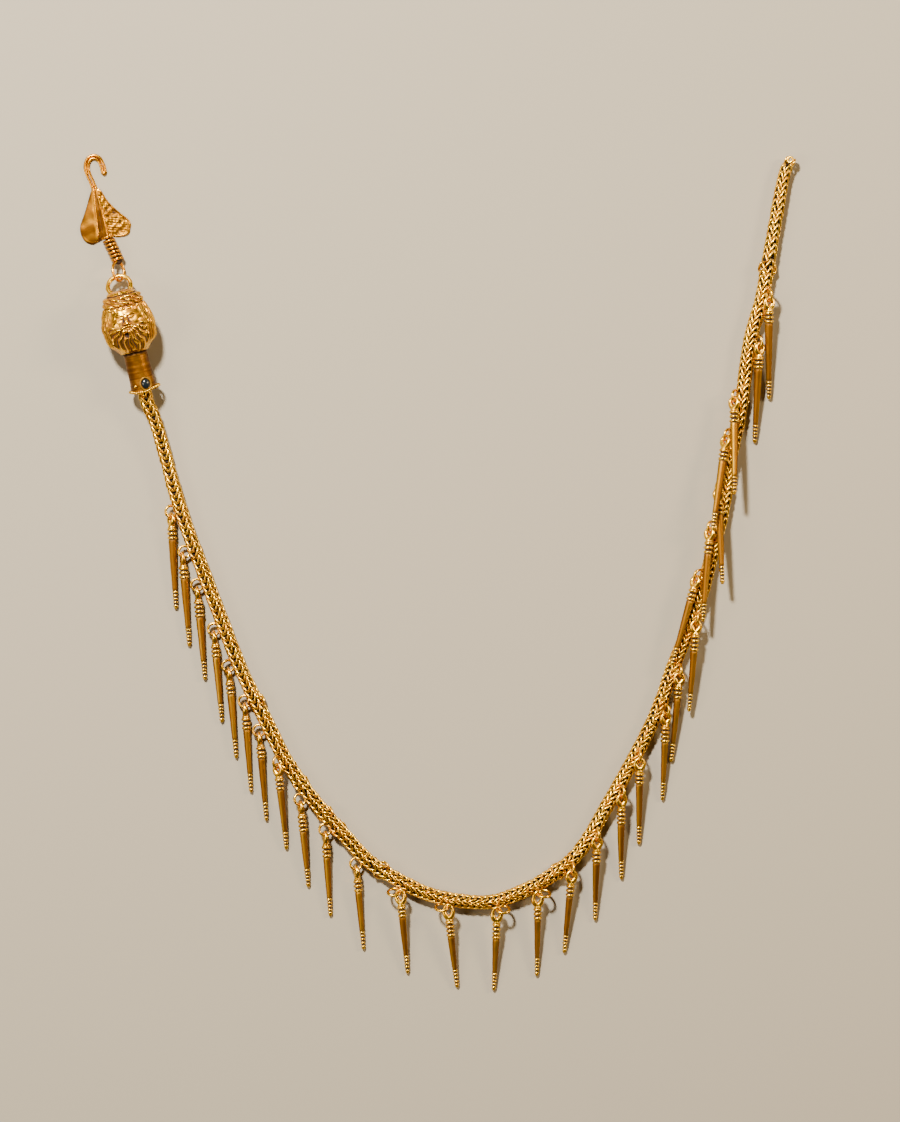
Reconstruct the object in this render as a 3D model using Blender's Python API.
"""Gold collar necklace, lying on a flat surface with its pendants spread.

Metres, +Z up. +X is the wearer's right arm of the chain, +Y runs towards the hook. From one end to the
other: hook with leaf, link ring, bearded head, sleeve with an inlaid stone, chain with pendants.
The origin is the centre of the bounding box, on the surface that the piece lies on.
"""

import math

import bmesh
import bpy
import numpy as np
from mathutils import Matrix, Vector

# Gaps
SEAT_GAP = 0.0003  # between pieces that seat in or on each other
LINK_GAP = 0.00013  # between wires that hang in each other
STACK_GAP = 0.0001  # between a pendant and what it lies on

# Chain
CHAIN_RADIUS = 0.00145
CHAIN_END_RADIUS = 0.00122
CHAIN_END_TAPER = 0.024  # length over which the free end grows slimmer
CHAIN_KNOT_RADIUS = 0.00105
CHAIN_KNOT_LENGTH = 0.0012
CHAIN_SIDES = 8
CHAIN_ROW = 0.0026  # spacing of the woven rows
WEAVE_DEPTH = 0.0003
SOCKET_DEPTH = 0.0026  # how far the chain runs into the sleeve
CHAIN_EXIT = 0.003  # straight run out of the sleeve's mouth
CURVE_WIDTH = 0.1419  # from the sleeve's mouth to the free end, along X
CURVE_LENGTH = 0.1633  # from the free end down to the lowest point, along Y
FINE_STEP = 0.0002  # spacing of the points that rings and pendants are placed by

# The free run of the chain as it is drawn: x, y and how far it is lifted off the surface
CHAIN_ROUTE = (
    (-0.0622, 0.0327, 0.0009),
    (-0.0601, 0.0254, 0.0000),
    (-0.0581, 0.0180, 0.0),
    (-0.0554, 0.0095, 0.0),
    (-0.0517, -0.0003, 0.0),
    (-0.0480, -0.0101, 0.0),
    (-0.0435, -0.0216, 0.0),
    (-0.0382, -0.0325, 0.0),
    (-0.0335, -0.0418, 0.0),
    (-0.0272, -0.0508, 0.0),
    (-0.0209, -0.0580, 0.0),
    (-0.0155, -0.0638, 0.0),
    (-0.0093, -0.0678, 0.0),
    (-0.0016, -0.0714, 0.0),
    (0.0082, -0.0730, 0.0),
    (0.0147, -0.0721, 0.0),
    (0.0236, -0.0679, 0.0),
    (0.0308, -0.0620, 0.0),
    (0.0369, -0.0521, 0.0),
    (0.0431, -0.0411, 0.0),
    (0.0480, -0.0312, 0.0),
    (0.0519, -0.0205, 0.0),
    (0.0570, -0.0077, 0.0),
    (0.0606, 0.0055, 0.0),
    (0.0627, 0.0145, 0.0),
    (0.0643, 0.0253, 0.0),
    (0.0664, 0.0356, 0.0),
    (0.0685, 0.0504, 0.0),
    (0.0710, 0.0594, 0.0),
    (0.0735, 0.0735, 0.0),
    (0.0758, 0.0861, 0.0),
    (0.0774, 0.0903, 0.0),
)

# Suspension rings, which thread the chain's edge
RING_RADIUS = 0.00127  # to the middle of the wire
RING_WIRE = 0.0003  # radius of the wire
RING_SEGMENTS = 6
RING_SIDES = 4
THREAD_DEPTH = 0.0004  # how deep the wire's middle runs under the chain's surface
RING_UPPER_HOLD = math.radians(65)  # where an eye that hangs high in its ring touches it

# Pendants
EYE_RADIUS = 0.00105  # to the middle of the wire
EYE_WIRE = 0.00028
EYE_STRETCH = 0.0009  # the eye is a drop, longer than round by this
EYE_SEGMENTS = 6
EYE_SIDES = 4
PENDANT_SIDES = 5
PENDANT_TOP_RADIUS = 0.00078
PENDANT_TIP_RADIUS = 0.00052
PENDANT_POINT_RADIUS = 0.00028
BAND_RADIUS = 0.00095
BAND_PITCH = 0.001
BAND_COUNT = 3
LOWEST_LENGTH = 0.0169  # eye to tip on the lowest pendant
LENGTH_PER_HEIGHT = 0.033  # the pendants grow towards the two ends
GIRTH_PER_LENGTH = 0.6  # and grow stouter by this share of their growth in length

# Each pendant: where its ring hangs (x, y), the ring's angle up from the chain's edge, the ring's turn
# from flat about the line it hangs by, and the point that its tip lies at (x, y)
HANGERS = (
    (-0.0592, 0.0128, 0, 30, -0.0582, -0.0073),
    (-0.0555, 0.0042, 0, 10, -0.0540, -0.0161),
    (-0.0534, -0.0035, 0, 0, -0.0518, -0.0231),
    (-0.0499, -0.0133, 0, 0, -0.0481, -0.0341),
    (-0.0467, -0.0212, 0, 10, -0.0450, -0.0409),
    (-0.0433, -0.0291, 0, 0, -0.0419, -0.0491),
    (-0.0392, -0.0352, 0, 0, -0.0377, -0.0541),
    (-0.0353, -0.0422, 40, 50, -0.0333, -0.0625),
    (-0.0299, -0.0499, 10, 15, -0.0281, -0.0695),
    (-0.0250, -0.0571, 10, 10, -0.0239, -0.0757),
    (-0.0182, -0.0648, 5, 10, -0.0166, -0.0832),
    (-0.0085, -0.0700, 45, 70, -0.0069, -0.0878),
    (0.0021, -0.0733, 60, 80, 0.0041, -0.0911),
    (0.0127, -0.0737, 55, 80, 0.0120, -0.0911),
    (0.0214, -0.0697, 50, 80, 0.0212, -0.0876),
    (0.0289, -0.0651, 50, 75, 0.0272, -0.0829),
    (0.0346, -0.0581, 60, 70, 0.0342, -0.0768),
    (0.0399, -0.0486, 60, 65, 0.0399, -0.0682),
    (0.0438, -0.0406, 70, 80, 0.0437, -0.0609),
    (0.0499, -0.0309, 45, 60, 0.0492, -0.0504),
    (0.0530, -0.0222, 40, 78, 0.0511, -0.0431),
    (0.0557, -0.0103, 105, 100, 0.0541, -0.0311),
    (0.0566, -0.0011, 42, 45, 0.0504, -0.0231),
    (0.0592, 0.0095, 45, 50, 0.0573, -0.0139),
    (0.0600, 0.0183, 45, 50, 0.0610, -0.0046),
    (0.0632, 0.0296, 45, 50, 0.0596, 0.0062),
    (0.0647, 0.0381, 45, 55, 0.0646, 0.0147),
    (0.0707, 0.0499, 40, 55, 0.0696, 0.0264),
    (0.0723, 0.0604, 55, 65, 0.0724, 0.0370),
)

# Head and sleeve, both on one axis that rises from the mouth of the sleeve
MOUTH = (-0.0645, 0.0394)
AXIS_LEAN = math.radians(13.5)  # to the left of straight up the page
SLEEVE_LENGTH = 0.0086
SLEEVE_TOP_RADIUS = 0.0026
SLEEVE_MOUTH_RADIUS = 0.003
SLEEVE_SIDES = 12
RIM_RADIUS = 0.0031  # to the middle of the beaded wire
RIM_WIRE = 0.00032
RIM_BEADS = 11
HEAD_LENGTH = 0.0134
HEAD_WIDTH = 0.012
HEAD_DEPTH = 0.0112
HEAD_WIDEST = 0.45  # share of the length, from the neck, where it is widest and lies on the surface
HEAD_ROWS = 20
HEAD_COLUMNS = 26
COLUMN_CROWDING = 1.5  # columns stand closer together round the face
ROW_CROWDING = 0.075  # and rows closer between mouth and brow
FLAT_DEPTH = 0.00022  # ground off the back of the head, so that it lies still
GRANULE_RADIUS = 0.00036
GRANULE_FROM_MOUTH = 0.00145
GRANULE_TURN = 30.0  # degrees round the sleeve from the top

# The head's outline: share of its length from the neck to the crown, and share of its full width
HEAD_OUTLINE = (
    (0.0, 0.58),
    (0.05, 0.70),
    (0.2, 0.92),
    (0.45, 1.00),
    (0.62, 0.91),
    (0.8, 0.75),
    (0.94, 0.65),
    (1.0, 0.48),
)

# Carving of the face, whose brow, nose and chin divide it into equal thirds. Each feature has its place
# and spread up the head as shares of the length, its place and spread to both sides of the face's
# middle in degrees, and its height as a share of the length
HEAD_FEATURES = (
    (0.675, 0.028, 20.0, 17.0, 0.028),  # brow
    (0.615, 0.032, 23.0, 11.0, -0.055),  # eye socket
    (0.605, 0.016, 23.0, 7.0, 0.035),  # lids
    (0.535, 0.055, 0.0, 8.0, 0.078),  # nose
    (0.500, 0.060, 34.0, 12.0, 0.020),  # cheek
    (0.455, 0.020, 13.0, 12.0, 0.030),  # moustache
    (0.425, 0.012, 0.0, 14.0, -0.020),  # parting of the lips
    (0.395, 0.018, 0.0, 11.0, 0.022),  # lower lip
)
WREATH_PLACE = 0.87
WREATH_SPREAD = 0.07
WREATH_HEIGHT = 0.042
WREATH_LEAVES = 10
HEADBAND = (0.77, 0.02, -0.018)  # place, spread and depth of the groove under the wreath
BEARD = (0.2, 0.16, 0.0, 75.0)
HAIR = (0.55, 0.22, 80.0, 26.0)
LOCK_HEIGHT = 0.03
LOCK_COUNT = 14
LOCK_SLANT = 22.0

# Inlaid stone in the sleeve, near its mouth
STONE_LENGTH = 0.0022
STONE_WIDTH = 0.0018
STONE_HEIGHT = 0.0009
STONE_FROM_MOUTH = 0.0016
STONE_TURN = -14.0  # degrees round the sleeve from the top
STONE_SIDES = 10
STONE_SINK = 0.0003  # depth of its pit under the sleeve's surface

# Link ring between the head and the hook
LINK_RADIUS = 0.00255
LINK_WIRE = 0.0005
LINK_SEGMENTS = 14
LINK_SIDES = 6
LINK_SLOPE = math.radians(30)  # it drops from the head to the hook's eye
LINK_OUT = 0.0014  # its middle stands this far out of the crown
LINK_DROP = 0.0019  # it enters the crown this far below the axis

# Hook with leaf: places are x, y from the leaf's stalk, where the coil begins
HOOK_EYE_LENGTH = 0.0042
HOOK_EYE_WIDTH = 0.0041
HOOK_EYE_WIRE = 0.00032
HOOK_EYE_TWIST = math.radians(48)  # its plane is turned out of the flat
HOOK_EYE_SEGMENTS = 12
HOOK_EYE_SIDES = 5
COIL_TURNS = 7
COIL_RUN = (0.0025, -0.0055)  # from the stalk to the eye
COIL_RADIUS = 0.00143
COIL_WIRE = 0.0004
COIL_SIDES = 7
COIL_ROOT = 0.001  # the stem runs this far on into the leaf
LEAF_THICKNESS = 0.0007
LEAF_EDGE = 0.0004
LEAF_DENT_DEPTH = 0.00012
LEAF_DENT_PITCH = 0.003
RIB_WIRE = 0.00028
RIB_SIDES = 4
RIB_STEP = 0.002
HOOK_WIRE = 0.00036
HOOK_SIDES = 5
HOOK_STEP = 0.0018
HOOK_STRANDS = 0.00095  # spacing of the two strands
LEAF_OUTLINE = (
    (-0.0019, 0.0106),
    (-0.0012, 0.0099),
    (0.0002, 0.0078),
    (0.0026, 0.0055),
    (0.0045, 0.0040),
    (0.0051, 0.0031),
    (0.0050, 0.0020),
    (0.0045, 0.0006),
    (0.0024, 0.0001),
    (0.0009, 0.0002),
    (-0.0005, -0.0004),
    (-0.0018, -0.0009),
    (-0.0034, -0.0016),
    (-0.0050, -0.0009),
    (-0.0059, 0.0007),
    (-0.0060, 0.0024),
    (-0.0053, 0.0045),
    (-0.0046, 0.0067),
    (-0.0041, 0.0085),
    (-0.0036, 0.0101),
    (-0.0028, 0.0108),
)
LEAF_MIDDLE = (-0.0008, 0.0038)
LEFT_RIB = ((-0.0029, 0.0098), (-0.0025, 0.0050), (-0.0020, 0.0003))
RIGHT_RIB = ((-0.0023, 0.0098), (-0.0011, 0.0052), (-0.0003, 0.0018), (0.0001, 0.0001))
HOOK_BEND = (
    (-0.0026, 0.0098),
    (-0.0035, 0.0122),
    (-0.0044, 0.0143),
    (-0.0046, 0.0158),
    (-0.0041, 0.0171),
    (-0.0030, 0.0176),
    (-0.0018, 0.0170),
    (-0.0011, 0.0156),
    (-0.0008, 0.0143),
)

UP = np.array((0.0, 0.0, 1.0))


def unit(vector):
    """The vector at length one."""
    vector = np.asarray(vector, float)
    return vector / np.linalg.norm(vector, axis=-1, keepdims=True)


def clear_scene():
    for obj in list(bpy.data.objects):
        bpy.data.objects.remove(obj, do_unlink=True)


def make_material(name, colour, metallic, roughness):
    """A Principled material; the colour is linear."""
    material = bpy.data.materials.new(name)
    material.use_nodes = True
    shader = material.node_tree.nodes["Principled BSDF"]
    shader.inputs["Base Color"].default_value = (*colour, 1.0)
    shader.inputs["Metallic"].default_value = metallic
    shader.inputs["Roughness"].default_value = roughness
    return material


def smooth_curve(points, step):
    """Evenly spaced points on a smooth curve through the given ones."""
    points = np.asarray(points, float)
    padded = np.vstack([2 * points[0] - points[1], points, 2 * points[-1] - points[-2]])
    shares = np.linspace(0.0, 1.0, 16, endpoint=False)[:, None]
    stretches = []
    for before, start, end, after in zip(padded, padded[1:], padded[2:], padded[3:]):
        stretches.append(
            0.5
            * (
                2 * start
                + (end - before) * shares
                + (2 * before - 5 * start + 4 * end - after) * shares**2
                + (3 * start - before - 3 * end + after) * shares**3
            )
        )
    fine = np.vstack([*stretches, points[-1:]])
    run = np.concatenate([[0.0], np.cumsum(np.linalg.norm(np.diff(fine, axis=0), axis=1))])
    count = max(2, round(run[-1] / step))
    places = np.linspace(0.0, run[-1], count + 1)
    return np.column_stack([np.interp(places, run, fine[:, axis]) for axis in range(fine.shape[1])])


def sweep(centres, radii, sides, up, closed=False, turn=0.0):
    """Rings of points round a path. No stretch of the path may run along up."""
    centres = np.asarray(centres, float)
    radii = np.broadcast_to(np.asarray(radii, float).reshape(-1, 1), (len(centres), sides))
    if closed:
        tangents = np.roll(centres, -1, axis=0) - np.roll(centres, 1, axis=0)
    else:
        tangents = np.gradient(centres, axis=0)
    tangents = unit(tangents)
    sideways = unit(np.cross(tangents, up))
    upwards = np.cross(sideways, tangents)
    angles = turn + 2 * math.pi * np.arange(sides) / sides
    return (
        centres[:, None]
        + (radii * np.cos(angles))[..., None] * sideways[:, None]
        + (radii * np.sin(angles))[..., None] * upwards[:, None]
    )


def loft(name, rings, closed=False):
    """A mesh skinned over rings of points, capped at both ends unless the rings close on themselves."""
    build = bmesh.new()
    rows = [[build.verts.new(point) for point in ring] for ring in rings]
    pairs = list(zip(rows, rows[1:]))
    if closed:
        pairs.append((rows[-1], rows[0]))
    for lower, upper in pairs:
        for here in range(len(lower)):
            there = (here + 1) % len(lower)
            build.faces.new((lower[here], lower[there], upper[there], upper[here]))
    if not closed:
        build.faces.new(rows[0][::-1])
        build.faces.new(rows[-1])
    bmesh.ops.recalc_face_normals(build, faces=build.faces)
    mesh = bpy.data.meshes.new(name)
    build.to_mesh(mesh)
    build.free()
    mesh.shade_smooth()
    mesh.set_sharp_from_angle(angle=math.radians(50))
    return mesh


def joined(name, meshes):
    """One mesh that holds several meshes which do not touch."""
    build = bmesh.new()
    for mesh in meshes:
        build.from_mesh(mesh)
    mesh = bpy.data.meshes.new(name)
    build.to_mesh(mesh)
    build.free()
    return mesh


def place(name, mesh, material, parent, matrix=None):
    """A sub-part in the scene."""
    mesh.materials.clear()
    mesh.materials.append(material)
    obj = bpy.data.objects.new(name, mesh)
    bpy.context.scene.collection.objects.link(obj)
    obj.parent = parent
    if matrix is not None:
        obj.matrix_local = matrix
    return obj


def helper(name, mesh, parent, matrix=None):
    """A shape that is cut from a sub-part or fused to it, and isn't shown."""
    obj = bpy.data.objects.new(name, mesh)
    bpy.context.scene.collection.objects.link(obj)
    obj.parent = parent
    if matrix is not None:
        obj.matrix_local = matrix
    obj.hide_render = True
    obj.display_type = "WIRE"
    return obj


def combine(target, tool, operation):
    modifier = target.modifiers.new(f"{operation.lower()} {tool.name}", "BOOLEAN")
    modifier.operation = operation
    modifier.object = tool
    modifier.solver = "EXACT"


def box(name, low, high):
    """A closed box between two corners."""
    (x0, y0, z0), (x1, y1, z1) = low, high
    corners = ((x0, y0), (x1, y0), (x1, y1), (x0, y1))
    return loft(name, [[(x, y, z0) for x, y in corners], [(x, y, z1) for x, y in corners]])


def circle(centre, across, along, radius, segments):
    """Points round a circle in the plane of two unit vectors."""
    angles = 2 * math.pi * np.arange(segments) / segments
    return centre + radius * (np.cos(angles)[:, None] * across + np.sin(angles)[:, None] * along)


def terminal_frame():
    """The sleeve's mouth, the axis towards the head, a level direction across it, and its own up."""
    run = SLEEVE_LENGTH + SEAT_GAP + HEAD_LENGTH * HEAD_WIDEST
    rim_height = RIM_RADIUS + RIM_WIRE
    slope = math.asin((HEAD_DEPTH / 2 - FLAT_DEPTH - rim_height) / run)
    level = np.array((-math.sin(AXIS_LEAN), math.cos(AXIS_LEAN), 0.0))
    axis = math.cos(slope) * level + math.sin(slope) * UP
    across = np.array((math.cos(AXIS_LEAN), math.sin(AXIS_LEAN), 0.0))
    above = np.cross(across, axis)
    mouth = np.array((*laid(*MOUTH), rim_height * math.cos(slope)))
    return mouth, axis, across, above


def matrix_of(origin, along_x, along_y, along_z):
    """The matrix of a local frame with these axes."""
    matrix = Matrix.Identity(4)
    for column, vector in enumerate((along_x, along_y, along_z, origin)):
        for row in range(3):
            matrix[row][column] = float(vector[row])
    return matrix


def laid(x, y):
    """Where a drawn place comes to lie at the curve's width and length."""
    drawn_width = CHAIN_ROUTE[-1][0] - MOUTH[0]
    drawn_length = CHAIN_ROUTE[-1][1] - min(y for _, y, _ in CHAIN_ROUTE)
    return x * CURVE_WIDTH / drawn_width, y * CURVE_LENGTH / drawn_length


def hangers():
    """The pendants' rows at the curve's width and length."""
    return [(*laid(x, y), angle, turn, *laid(tip_x, tip_y)) for x, y, angle, turn, tip_x, tip_y in HANGERS]


def chain_route(step):
    """Evenly spaced middle points of the chain, from inside the sleeve to the free end."""
    mouth, axis, _, _ = terminal_frame()
    start = [mouth + SOCKET_DEPTH * axis, mouth, mouth - CHAIN_EXIT * axis]
    free = [(*laid(x, y), CHAIN_RADIUS + lift) for x, y, lift in CHAIN_ROUTE]
    return smooth_curve([*start, *free], step)


def chain_radii(route):
    """The chain's radius at each point: slimmer towards the free end, with a small gathered knot."""
    run = np.concatenate([[0.0], np.cumsum(np.linalg.norm(np.diff(route, axis=0), axis=1))])
    left = run[-1] - run
    radii = np.interp(left, (0.0, CHAIN_END_TAPER), (CHAIN_END_RADIUS, CHAIN_RADIUS))
    return np.where(left < CHAIN_KNOT_LENGTH, np.minimum(radii, CHAIN_KNOT_RADIUS), radii)


def chain_mesh():
    """The woven chain: rows of raised and sunk points, each second column half a row further on."""
    route = chain_route(CHAIN_ROW)
    rows = np.arange(len(route))[:, None]
    columns = np.arange(CHAIN_SIDES)[None, :]
    relief = WEAVE_DEPTH * ((rows + columns) % 2)
    relief[0] = 0.0
    relief[-1] = 0.0
    radii = chain_radii(route)[:, None] - relief
    rings = sweep(route, np.ones(len(route)), CHAIN_SIDES, UP)
    spokes = rings - route[:, None]
    points = route[:, None] + spokes * radii[..., None]
    tangents = unit(np.gradient(route, axis=0))
    half_row = (columns % 2) * 0.5 * CHAIN_ROW * ((rows > 0) & (rows < len(route) - 2))
    points += half_row[..., None] * tangents[:, None]
    points[..., 2] = np.maximum(points[..., 2], 0.0)
    return loft("chain", points)


def hanger_places():
    """For each pendant: the middle of its ring, the ring's level and raised directions, and the way
    it hangs, which is the level direction towards its tip."""
    fine = chain_route(FINE_STEP)
    found = []
    for ring_x, ring_y, thread_angle, ring_turn, tip_x, tip_y in hangers():
        nearest = int(np.argmin(np.hypot(fine[:, 0] - ring_x, fine[:, 1] - ring_y)))
        middle = fine[nearest]
        tangent = unit(fine[nearest + 1] - fine[nearest - 1])
        side = unit(np.cross(tangent, UP))
        if side @ (np.array((ring_x, ring_y, middle[2])) - middle) < 0:
            side = -side
        angle = math.radians(thread_angle)
        outward = math.cos(angle) * side + math.sin(angle) * UP
        hang = unit((tip_x - ring_x, tip_y - ring_y, 0.0))
        level = np.cross(hang, UP)
        if level @ side < 0:
            level = -level
        turn = math.radians(ring_turn)
        raised = math.cos(turn) * level + math.sin(turn) * UP
        normal = np.cross(hang, raised)
        reach = math.sqrt(max(0.0, 1.0 - (outward @ normal) ** 2))
        radius = chain_radii(fine)[nearest]
        centre = middle + outward * (radius - THREAD_DEPTH + RING_RADIUS * reach)
        centre[2] = max(centre[2], RING_WIRE + RING_RADIUS * abs(raised[2]))
        found.append((centre, raised, normal, hang))
    return found


def ring_points(centre, raised, hang, segments):
    return circle(centre, hang, raised, RING_RADIUS, segments)


def suspension_rings(places):
    """All the suspension rings, as one mesh of separate rings."""
    rings = []
    for number, (centre, raised, normal, hang) in enumerate(places, start=1):
        path = ring_points(centre, raised, hang, RING_SEGMENTS)
        wire = sweep(path, [RING_WIRE] * RING_SEGMENTS, RING_SIDES, normal, closed=True)
        rings.append(loft(f"ring {number}", wire))
    return joined("suspension rings", rings)


def pendant_lengths():
    """Eye to tip: the pendants are graduated, the shortest in the middle of the necklace."""
    tips = [row[5] for row in hangers()]
    return [LOWEST_LENGTH + LENGTH_PER_HEIGHT * (tip - min(tips)) for tip in tips]


def girth(length):
    """How much stouter than the lowest pendant one of this length is."""
    return 1 + GIRTH_PER_LENGTH * (length / LOWEST_LENGTH - 1)


def pendant_profile(length):
    """Distance from the eye and radius of each ring of the spindle."""
    neck = EYE_RADIUS + EYE_STRETCH
    rows = [(neck - EYE_WIRE, PENDANT_TOP_RADIUS * 0.7)]
    for band in range(BAND_COUNT):
        rows.append((neck + BAND_PITCH * (band + 0.25), BAND_RADIUS))
        rows.append((neck + BAND_PITCH * (band + 0.75), PENDANT_TOP_RADIUS))
    rows.append((length - 0.5 * PENDANT_TIP_RADIUS, PENDANT_TIP_RADIUS))
    rows.append((length, PENDANT_POINT_RADIUS))
    return [(distance, radius * girth(length)) for distance, radius in rows]


def spindle_mesh(number, length):
    """A pendant's body along +X from its eye's middle."""
    profile = pendant_profile(length)
    centres = [(distance, 0.0, 0.0) for distance, _ in profile]
    return loft(f"pendant {number}", sweep(centres, [radius for _, radius in profile], PENDANT_SIDES, UP))


def eye_mesh():
    """The drop-shaped wire eye in the XY plane, round its middle."""
    angles = 2 * math.pi * np.arange(EYE_SEGMENTS) / EYE_SEGMENTS
    along = EYE_RADIUS * np.cos(angles)
    along = np.where(along > 0, along * (1 + EYE_STRETCH / EYE_RADIUS), along)
    path = np.column_stack([along, EYE_RADIUS * np.sin(angles), 0 * angles])
    return loft("pendant eye", sweep(path, [EYE_WIRE] * EYE_SEGMENTS, EYE_SIDES, UP, closed=True))


def clear_height(places, radii, solid_points, solid_radii):
    """The lowest height at which each ball clears the surface and the balls that are already there."""
    heights = np.array(radii, float)
    for index, (place_xy, radius) in enumerate(zip(places, radii)):
        away = np.hypot(*(solid_points[:, :2] - place_xy).T)
        reach = solid_radii + radius + STACK_GAP
        over = away < reach
        if over.any():
            lift = solid_points[over, 2] + np.sqrt(reach[over] ** 2 - away[over] ** 2)
            heights[index] = max(heights[index], lift.max())
    return heights


def lay_pendants(places):
    """Each pendant's frame: it hangs in its ring and slopes down until its tip or its side finds the
    surface, the chain, or a pendant that already lies there. One that has to rise instead, because it
    crosses the chain, hangs from the upper side of its ring."""
    route = chain_route(2 * FINE_STEP)
    balls = [route]
    sizes = [chain_radii(route)]
    ring_balls = [ring_points(centre, raised, hang, 16) for centre, raised, _, hang in places]
    frames = []
    hold = RING_RADIUS - RING_WIRE - EYE_WIRE - LINK_GAP
    lengths = pendant_lengths()
    for number, (centre, raised, normal, hang) in enumerate(places):
        length = lengths[number]
        distances = np.linspace(EYE_RADIUS + EYE_STRETCH, length - PENDANT_TIP_RADIUS, 16)
        band_end = EYE_RADIUS + EYE_STRETCH + BAND_PITCH * BAND_COUNT
        widths = girth(length) * np.where(
            distances < band_end,
            BAND_RADIUS,
            np.interp(distances, (band_end, length), (PENDANT_TOP_RADIUS, PENDANT_TIP_RADIUS)),
        )
        others = [points for index, points in enumerate(ring_balls) if index != number]
        solid_points = np.vstack(balls + others)
        solid_radii = np.concatenate(sizes + [np.full(len(points), RING_WIRE) for points in others])
        for lift_angle in (0.0, RING_UPPER_HOLD):
            caught = centre + hold * (math.cos(lift_angle) * hang + math.sin(lift_angle) * raised)
            flat = caught[:2] + (EYE_RADIUS + distances[:, None]) * hang[:2]
            needed = clear_height(flat, widths, solid_points, solid_radii)
            slope = math.atan(float(np.max((needed - caught[2]) / (distances + EYE_RADIUS))))
            if slope < 0:
                break
        axis = math.cos(slope) * hang + math.sin(slope) * UP
        eye = caught + axis * EYE_RADIUS
        width = unit(normal - (normal @ axis) * axis)
        frames.append((eye, axis, width, np.cross(axis, width), length))
        balls.append(eye + distances[:, None] * axis)
        sizes.append(widths)
        balls.append(eye + circle(np.zeros(3), axis, width, EYE_RADIUS, 12))
        sizes.append(np.full(12, EYE_WIRE))
    return frames


def bump(value, middle, spread):
    """A smooth rise to one at the middle."""
    return np.exp(-(((value - middle) / spread) ** 2))


def head_half_size(share):
    """The head's outline as a share of its half width, from the neck (0) to the crown (1)."""
    shares, sizes = zip(*HEAD_OUTLINE)
    return np.interp(share, shares, sizes)


def head_relief(share, turn):
    """Height of the carving, as a share of the head's length. Turn is in degrees from the face's middle."""
    side = abs(turn)
    height = 0.0
    for place_up, spread_up, place_round, spread_round, rise in HEAD_FEATURES:
        height += rise * bump(share, place_up, spread_up) * bump(side, place_round, spread_round)
    leaves = 0.45 + 0.55 * math.cos(math.radians(WREATH_LEAVES * turn))
    height += WREATH_HEIGHT * bump(share, WREATH_PLACE, WREATH_SPREAD) * leaves
    band_place, band_spread, band_depth = HEADBAND
    height += band_depth * bump(share, band_place, band_spread)
    beard = bump(share, *BEARD[:2]) * bump(side, *BEARD[2:])
    hair = bump(share, *HAIR[:2]) * bump(side, *HAIR[2:])
    locks = math.cos(math.radians(LOCK_COUNT * turn) + LOCK_SLANT * share)
    return height + LOCK_HEIGHT * ((beard + hair) * locks + beard)


def head_point(share, turn):
    """A point of the head in its own frame: Z along the axis from the neck, X across, Y to the face."""
    size = head_half_size(share)
    relief = HEAD_LENGTH * head_relief(share, turn)
    angle = math.radians(turn)
    deep = HEAD_DEPTH / 2 * size
    if abs(turn) < 90:
        deep += relief
    return (HEAD_WIDTH / 2 * size + relief) * math.sin(angle), deep * math.cos(angle), HEAD_LENGTH * share


def head_mesh():
    """Rows and columns, closest together on the face."""
    even = np.linspace(-1.0, 1.0, HEAD_COLUMNS, endpoint=False)
    turns = 180.0 * np.sign(even) * np.abs(even) ** COLUMN_CROWDING
    steps = np.linspace(0.0, 1.0, HEAD_ROWS)
    shares = steps - ROW_CROWDING * np.sin(2 * math.pi * (steps - 0.05)) * np.sin(math.pi * steps)
    return loft("head", [[head_point(share, turn) for turn in turns] for share in shares])


def link_ring_frame():
    """The link ring's middle, its level direction, its direction away from the head, and its normal."""
    mouth, axis, across, above = terminal_frame()
    crown = mouth + axis * (SLEEVE_LENGTH + SEAT_GAP + HEAD_LENGTH) - above * LINK_DROP
    level_axis = unit((axis[0], axis[1], 0.0))
    away = math.cos(LINK_SLOPE) * level_axis - math.sin(LINK_SLOPE) * UP
    return crown + away * LINK_OUT, across, away, np.cross(across, away)


def link_ring_mesh(wire, segments):
    middle, across, away, normal = link_ring_frame()
    path = circle(middle, away, across, LINK_RADIUS, segments)
    return loft("link ring", sweep(path, [wire] * segments, LINK_SIDES, normal, closed=True))


def build_head(gold, necklace):
    """The bearded head, lying on its back, with the curved hole that the link ring runs through."""
    mouth, axis, across, above = terminal_frame()
    neck = mouth + axis * (SLEEVE_LENGTH + SEAT_GAP)
    head = place("head_terminal", head_mesh(), gold, necklace, matrix_of(neck, across, above, axis))
    tunnel = helper("ring tunnel", link_ring_mesh(LINK_WIRE + LINK_GAP * 2, LINK_SEGMENTS), necklace)
    combine(head, tunnel, "DIFFERENCE")
    around = (HEAD_WIDTH, SLEEVE_LENGTH, 0.0)
    ground = box("ground flat", mouth - around - HEAD_DEPTH * UP, (*(mouth + HEAD_LENGTH * 2)[:2], 0.0))
    combine(head, helper("ground flat", ground, necklace), "DIFFERENCE")


def build_link_ring(gold, necklace):
    place("link_ring", link_ring_mesh(LINK_WIRE, LINK_SEGMENTS), gold, necklace)


def sleeve_radius(distance):
    """The sleeve's radius at a distance from its mouth."""
    return SLEEVE_MOUTH_RADIUS + (SLEEVE_TOP_RADIUS - SLEEVE_MOUTH_RADIUS) * distance / SLEEVE_LENGTH


def stone_frame():
    """The pit that the stone sits in: its middle on the sleeve's surface, and its axes."""
    mouth, axis, across, above = terminal_frame()
    turn = math.radians(STONE_TURN)
    outward = math.cos(turn) * above - math.sin(turn) * across
    middle = mouth + axis * STONE_FROM_MOUTH + outward * sleeve_radius(STONE_FROM_MOUTH)
    return middle, axis, np.cross(outward, axis), outward


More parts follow.
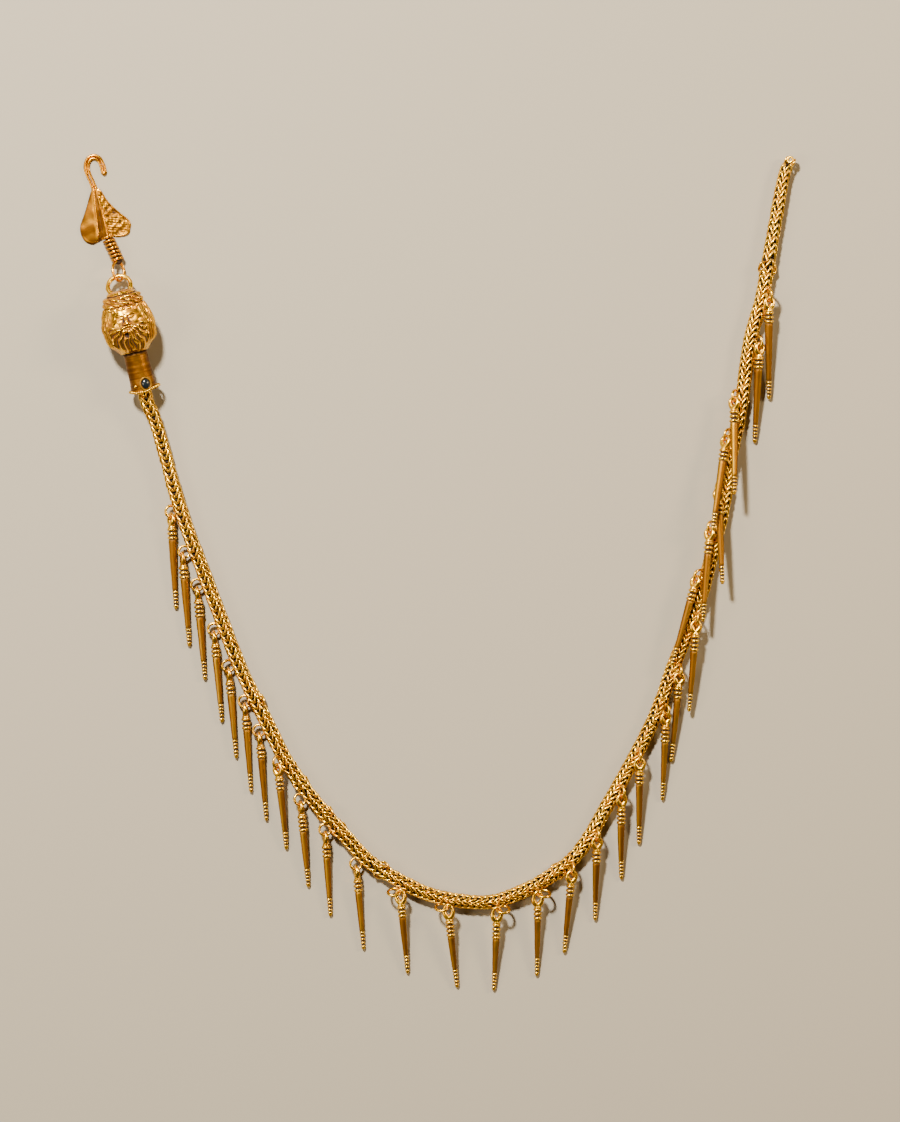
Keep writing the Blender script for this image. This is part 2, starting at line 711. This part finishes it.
def oval(length, width, height, sides):
    """An oval ring of points in the XY plane at a height."""
    angles = 2 * math.pi * np.arange(sides) / sides
    return [(length / 2 * math.cos(a), width / 2 * math.sin(a), height) for a in angles]


def build_sleeve(gold, necklace):
    """The flared sleeve: socket for the chain, beaded rim, a granule, and the stone's raised setting."""
    mouth, axis, across, above = terminal_frame()
    shares = np.linspace(0.0, 1.0, 4)
    centres = mouth + np.outer(shares * SLEEVE_LENGTH, axis)
    radii = [sleeve_radius(share * SLEEVE_LENGTH) for share in shares]
    tube = loft("sleeve", sweep(centres, radii, SLEEVE_SIDES, above))
    sleeve = place("stone_set_sleeve", tube, gold, necklace)

    rim_path = circle(mouth, across, above, RIM_RADIUS, 2 * RIM_BEADS)
    bead_radii = [RIM_WIRE, RIM_WIRE * 0.75] * RIM_BEADS
    rim = loft("beaded rim", sweep(rim_path, bead_radii, 4, axis, closed=True))
    combine(sleeve, helper("beaded rim", rim, necklace), "UNION")

    middle, along, side, outward = stone_frame()
    setting_length = STONE_LENGTH + 2 * SEAT_GAP + 2 * RIM_WIRE
    setting_width = STONE_WIDTH + 2 * SEAT_GAP + 2 * RIM_WIRE
    collar = loft(
        "stone setting",
        [
            oval(setting_length, setting_width, -STONE_SINK * 2, STONE_SIDES),
            oval(setting_length, setting_width, RIM_WIRE, STONE_SIDES),
        ],
    )
    on_sleeve = matrix_of(middle, along, side, outward)
    combine(sleeve, helper("stone setting", collar, necklace, on_sleeve), "UNION")
    pit = loft(
        "stone pit",
        [
            oval(STONE_LENGTH + 2 * SEAT_GAP, STONE_WIDTH + 2 * SEAT_GAP, -STONE_SINK, STONE_SIDES),
            oval(STONE_LENGTH + 2 * SEAT_GAP, STONE_WIDTH + 2 * SEAT_GAP, STONE_HEIGHT * 2, STONE_SIDES),
        ],
    )
    combine(sleeve, helper("stone pit", pit, necklace, on_sleeve), "DIFFERENCE")

    turn = math.radians(GRANULE_TURN)
    out = math.cos(turn) * above - math.sin(turn) * across
    ball = bmesh.new()
    bmesh.ops.create_icosphere(ball, subdivisions=1, radius=GRANULE_RADIUS)
    granule = bpy.data.meshes.new("granule")
    ball.to_mesh(granule)
    ball.free()
    spot = mouth + axis * GRANULE_FROM_MOUTH + out * sleeve_radius(GRANULE_FROM_MOUTH)
    combine(sleeve, helper("granule", granule, necklace, Matrix.Translation(Vector(spot))), "UNION")

    bore_radius = CHAIN_RADIUS + SEAT_GAP
    bore_centres = [mouth - axis * (RIM_WIRE * 4), mouth + axis * (SOCKET_DEPTH + SEAT_GAP)]
    bore = loft("chain socket", sweep(bore_centres, [bore_radius] * 2, CHAIN_SIDES, above))
    combine(sleeve, helper("chain socket", bore, necklace), "DIFFERENCE")


def build_stone(stone, necklace):
    """The oval inlay, domed, standing on the floor of its pit."""
    middle, along, side, outward = stone_frame()
    low = SEAT_GAP - STONE_SINK
    rings = [
        oval(STONE_LENGTH, STONE_WIDTH, low, STONE_SIDES),
        oval(STONE_LENGTH, STONE_WIDTH, low + STONE_HEIGHT * 0.5, STONE_SIDES),
        oval(STONE_LENGTH * 0.7, STONE_WIDTH * 0.7, low + STONE_HEIGHT * 0.9, STONE_SIDES),
        oval(STONE_LENGTH * 0.3, STONE_WIDTH * 0.3, low + STONE_HEIGHT, STONE_SIDES),
    ]
    in_pit = matrix_of(middle, along, side, outward)
    place("inlay_stone", loft("inlay stone", rings), stone, necklace, in_pit)


def leaf_mesh(stalk):
    """The heart-shaped leaf: flat below, swelling from its edge towards the middle."""
    outline = np.array(LEAF_OUTLINE)
    middle = np.array(LEAF_MIDDLE)
    levels = ((1.0, 0.0), (1.0, LEAF_EDGE), (0.72, LEAF_THICKNESS), (0.3, LEAF_THICKNESS * 1.1))
    rings = []
    for share, height in levels:
        flat = middle + (outline - middle) * share
        waves = 2 * math.pi * flat / LEAF_DENT_PITCH
        dents = LEAF_DENT_DEPTH * np.sin(waves[:, 0]) * np.cos(waves[:, 1]) * (share < 1)
        rings.append(np.column_stack([stalk[:2] + flat, height + dents]))
    return loft("leaf", rings)


def build_hook(gold, necklace):
    """Hook, leaf, coil and eye: one piece, worked out from the link ring that it hangs in."""
    middle, _, away, _ = link_ring_frame()
    eye_end = middle + away * (LINK_RADIUS - LINK_WIRE - HOOK_EYE_WIRE - LINK_GAP * 2)
    run = np.array(COIL_RUN)
    length = float(np.linalg.norm(run))
    eye_start = np.array((eye_end[0], eye_end[1] + HOOK_EYE_LENGTH, COIL_RADIUS))
    stalk = np.array((*(eye_start[:2] - run), COIL_RADIUS))

    leaf = place("hook_with_leaf", leaf_mesh(stalk), gold, necklace)
    for name, rib in (("left rib", LEFT_RIB), ("right rib", RIGHT_RIB)):
        heights = [LEAF_EDGE] + [LEAF_THICKNESS] * (len(rib) - 2) + [LEAF_EDGE]
        ridge = [(stalk[0] + x, stalk[1] + y, height) for (x, y), height in zip(rib, heights)]
        path = smooth_curve(ridge, RIB_STEP)
        wire = loft(name, sweep(path, [RIB_WIRE] * len(path), RIB_SIDES, UP))
        combine(leaf, helper(name, wire, necklace), "UNION")

    bend = smooth_curve([(stalk[0] + x, stalk[1] + y, HOOK_WIRE) for x, y in HOOK_BEND], HOOK_STEP)
    sideways = unit(np.cross(unit(np.gradient(bend, axis=0)), UP)) * HOOK_STRANDS / 2
    tip = unit(bend[-1] - bend[-2])
    turn = [
        bend[-1] + math.sin(angle) * HOOK_STRANDS / 2 * tip + math.cos(angle) * sideways[-1]
        for angle in np.radians((45, 90, 135))
    ]
    path = np.vstack([bend + sideways, turn, (bend - sideways)[::-1]])
    hook = loft("hook wire", sweep(path, [HOOK_WIRE] * len(path), HOOK_SIDES, UP))
    combine(leaf, helper("hook wire", hook, necklace), "UNION")

    along = unit(np.array((*run, 0.0)))
    waist = COIL_RADIUS - COIL_WIRE
    pitch = length / COIL_TURNS
    stations = [(-COIL_ROOT, waist - COIL_WIRE), (0.0, waist)]
    for ridge in range(COIL_TURNS):
        stations.append((pitch * (ridge + 0.4), COIL_RADIUS))
        stations.append((pitch * (ridge + 0.95), waist))
    stations.append((length + HOOK_EYE_WIRE, waist - COIL_WIRE))
    centres = [stalk + along * distance for distance, _ in stations]
    coil = loft("coil", sweep(centres, [radius for _, radius in stations], COIL_SIDES, UP))
    combine(leaf, helper("coil", coil, necklace), "UNION")

    axis = unit(eye_end - eye_start)
    level = unit(np.cross(axis, UP))
    lifted = np.cross(level, axis)
    width = math.cos(HOOK_EYE_TWIST) * level + math.sin(HOOK_EYE_TWIST) * lifted
    half = np.linalg.norm(eye_end - eye_start) / 2
    angles = 2 * math.pi * np.arange(HOOK_EYE_SEGMENTS) / HOOK_EYE_SEGMENTS
    loop = (eye_end + eye_start) / 2 + (
        half * np.cos(angles)[:, None] * axis
        + (HOOK_EYE_WIDTH / 2 - HOOK_EYE_WIRE) * np.sin(angles)[:, None] * width
    )
    flat = np.cross(axis, width)
    wire = sweep(loop, [HOOK_EYE_WIRE] * HOOK_EYE_SEGMENTS, HOOK_EYE_SIDES, flat, closed=True)
    combine(leaf, helper("hook eye", loft("hook eye", wire), necklace), "UNION")


def build_chain(gold, necklace, places):
    """The chain, with the suspension rings fused to it where they thread its edge."""
    chain = place("chain", chain_mesh(), gold, necklace)
    rings = helper("suspension rings", suspension_rings(places), necklace)
    combine(chain, rings, "UNION")


def build_pendants(gold, necklace, places):
    """The 29 spindle pendants, each hanging in its ring by its own eye."""
    eye_shape = eye_mesh()
    for number, (eye, axis, width, third, length) in enumerate(lay_pendants(places), start=1):
        matrix = matrix_of(eye, axis, width, third)
        pendant = place(f"pendant_{number:02d}", spindle_mesh(number, length), gold, necklace, matrix)
        combine(pendant, helper(f"eye {number:02d}", eye_shape, necklace, matrix), "UNION")


def centre_on_origin(necklace):
    """Moves the necklace so that its bounding box stands centred on the origin."""
    bpy.context.view_layer.update()
    graph = bpy.context.evaluated_depsgraph_get()
    corners = []
    for obj in necklace.children:
        if obj.hide_render:
            continue
        shown = obj.evaluated_get(graph)
        corners += [shown.matrix_world @ Vector(vertex.co) for vertex in shown.data.vertices]
    points = np.array(corners)
    low, high = points.min(axis=0), points.max(axis=0)
    necklace.location = (-(low[0] + high[0]) / 2, -(low[1] + high[1]) / 2, -low[2])


def main():
    clear_scene()
    chain_gold = make_material("woven gold wire", (0.72, 0.40, 0.09), 1.0, 0.28)
    pendant_gold = make_material("pendant gold", (0.70, 0.38, 0.09), 1.0, 0.25)
    sheet_gold = make_material("worn sheet gold", (0.55, 0.29, 0.07), 1.0, 0.4)
    dark_stone = make_material("dark inlay stone", (0.012, 0.022, 0.032), 0.0, 0.12)
    necklace = bpy.data.objects.new("necklace", None)
    bpy.context.scene.collection.objects.link(necklace)
    places = hanger_places()
    build_chain(chain_gold, necklace, places)
    build_pendants(pendant_gold, necklace, places)
    build_hook(sheet_gold, necklace)
    build_link_ring(sheet_gold, necklace)
    build_head(sheet_gold, necklace)
    build_sleeve(sheet_gold, necklace)
    build_stone(dark_stone, necklace)
    centre_on_origin(necklace)


if __name__ == "__main__":
    main()
